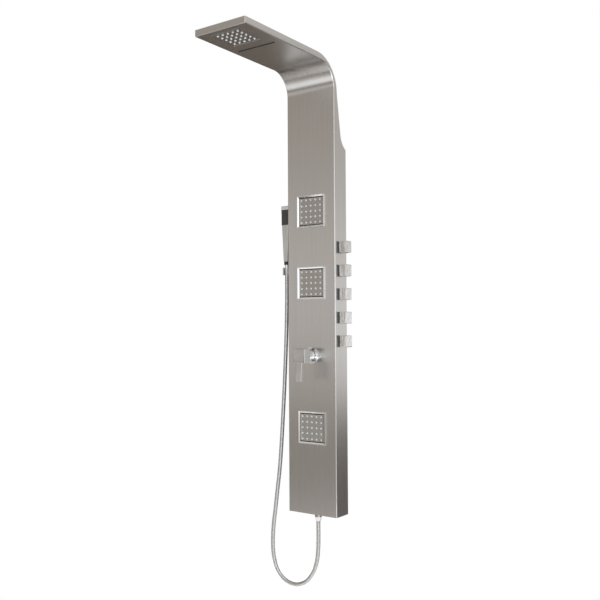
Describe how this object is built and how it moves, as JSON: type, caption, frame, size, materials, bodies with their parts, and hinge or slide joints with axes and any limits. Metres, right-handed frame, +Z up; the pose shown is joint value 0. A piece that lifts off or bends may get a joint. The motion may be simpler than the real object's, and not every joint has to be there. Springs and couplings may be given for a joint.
{
  "type": "rainfall shower column",
  "caption": "Wall-hung rainfall shower column in brushed steel with a rain head arm, tilting body jets, square valve knobs, a lever mixer and a hand shower on a hose",
  "frame": {"origin": "middle of the upper wall bracket's four screw holes, on the wall plane", "axes": "+Z up the column, +Y from the front of the column into the wall, +X to the knob side"},
  "size_m": [0.3349, 0.551, 1.837],
  "materials": {
    "brushed_steel": "brushed along its length",
    "plate_steel": "fine satin",
    "bracket_steel": "plain zinc-plated sheet",
    "chrome": "polished",
    "brass": "machined",
    "nozzle_rubber": "soft pale silicone",
    "seal_rubber": "matte",
    "dark_plastic": "fine matte",
    "chamber_plastic": "moulded, semi-matte",
    "tube_plastic": "smooth extruded tube"
  },
  "bodies": {
    "column": {"casing": "brushed_steel", "arm_cover": "brushed_steel", "bottom_cap": "brushed_steel", "hanger_rail": "bracket_steel", "upper_bracket": "bracket_steel", "lower_bracket": "bracket_steel", "spray_plate": "plate_steel", "rain_nozzles": "nozzle_rubber", "rain_gasket": "seal_rubber", "rain_chamber": "chamber_plastic", "cascade_spout": "dark_plastic", "upper_jet_frame": "chrome", "middle_jet_frame": "chrome", "lower_jet_frame": "chrome", "manifold": "brass", "valve_cartridges": "brass", "knob_collars": "chrome", "mixer_valve": "brass", "mixer_cartridge": "chamber_plastic", "mixer_flange": "chrome", "mixer_sleeve": "chrome", "inlet_strainers": "bracket_steel", "feed_tube": "tube_plastic", "rain_tube": "tube_plastic", "cascade_tube": "tube_plastic", "jet_tubes": "tube_plastic", "hand_tube": "tube_plastic", "hand_outlet": "brass", "outlet_nut": "chrome", "hose": "chrome", "holder_base": "chrome", "holder_cup": "chrome", "holder_screws": "bracket_steel"},
    "rain_valve": {"rain_knob": "chrome", "rain_spindle": "brass"},
    "cascade_valve": {"cascade_knob": "chrome", "cascade_spindle": "brass"},
    "upper_jets_valve": {"upper_jets_knob": "chrome", "upper_jets_spindle": "brass"},
    "lower_jet_valve": {"lower_jet_knob": "chrome", "lower_jet_spindle": "brass"},
    "hand_valve": {"hand_knob": "chrome", "hand_spindle": "brass"},
    "upper_jet": {"upper_jet_plate": "plate_steel", "upper_jet_nozzles": "nozzle_rubber"},
    "middle_jet": {"middle_jet_plate": "plate_steel", "middle_jet_nozzles": "nozzle_rubber"},
    "lower_jet": {"lower_jet_plate": "plate_steel", "lower_jet_nozzles": "nozzle_rubber"},
    "mixer_turner": {"stem_carrier": "chamber_plastic", "carrier_pin": "bracket_steel"},
    "mixer_handle": {"mixer_stem": "bracket_steel", "mixer_hub": "chrome", "mixer_lever": "chrome"},
    "hand_shower": {"hand_nut": "chrome", "hand_collar": "dark_plastic", "hand_body": "chrome", "hand_face": "dark_plastic", "hand_cap": "chrome"}
  },
  "joints": [
    {"name": "rain_turn", "type": "hinge", "parent": "column", "child": "rain_valve", "pos_m": [0.1, -0.036, -0.2695], "axis": [1, 0, 0], "range_deg": [0, 90]},
    {"name": "cascade_turn", "type": "hinge", "parent": "column", "child": "cascade_valve", "pos_m": [0.1, -0.036, -0.3505], "axis": [1, 0, 0], "range_deg": [0, 90]},
    {"name": "upper_jets_turn", "type": "hinge", "parent": "column", "child": "upper_jets_valve", "pos_m": [0.1, -0.036, -0.4315], "axis": [1, 0, 0], "range_deg": [0, 90]},
    {"name": "lower_jet_turn", "type": "hinge", "parent": "column", "child": "lower_jet_valve", "pos_m": [0.1, -0.036, -0.5125], "axis": [1, 0, 0], "range_deg": [0, 90]},
    {"name": "hand_turn", "type": "hinge", "parent": "column", "child": "hand_valve", "pos_m": [0.1, -0.036, -0.5935], "axis": [1, 0, 0], "range_deg": [0, 90]},
    {"name": "upper_jet_tilt", "type": "hinge", "parent": "column", "child": "upper_jet", "pos_m": [0, -0.068, -0.14], "axis": [1, 0, 0], "range_deg": [-9, 9]},
    {"name": "middle_jet_tilt", "type": "hinge", "parent": "column", "child": "middle_jet", "pos_m": [0, -0.068, -0.391], "axis": [1, 0, 0], "range_deg": [-9, 9]},
    {"name": "lower_jet_tilt", "type": "hinge", "parent": "column", "child": "lower_jet", "pos_m": [0, -0.068, -0.893], "axis": [1, 0, 0], "range_deg": [-9, 9]},
    {"name": "mixer_turn", "type": "hinge", "parent": "column", "child": "mixer_turner", "pos_m": [0, -0.09, -0.642], "axis": [0, 1, 0], "range_deg": [-50, 50]},
    {"name": "mixer_lift", "type": "hinge", "parent": "mixer_turner", "child": "mixer_handle", "pos_m": [0, -0.113, -0.642], "axis": [-1, 0, 0], "range_deg": [0, 13]},
    {"name": "hand_shower_lift", "type": "slide", "parent": "column", "child": "hand_shower", "axis": [0, 0, 1], "range_m": [0, 0.06]}
  ]
}
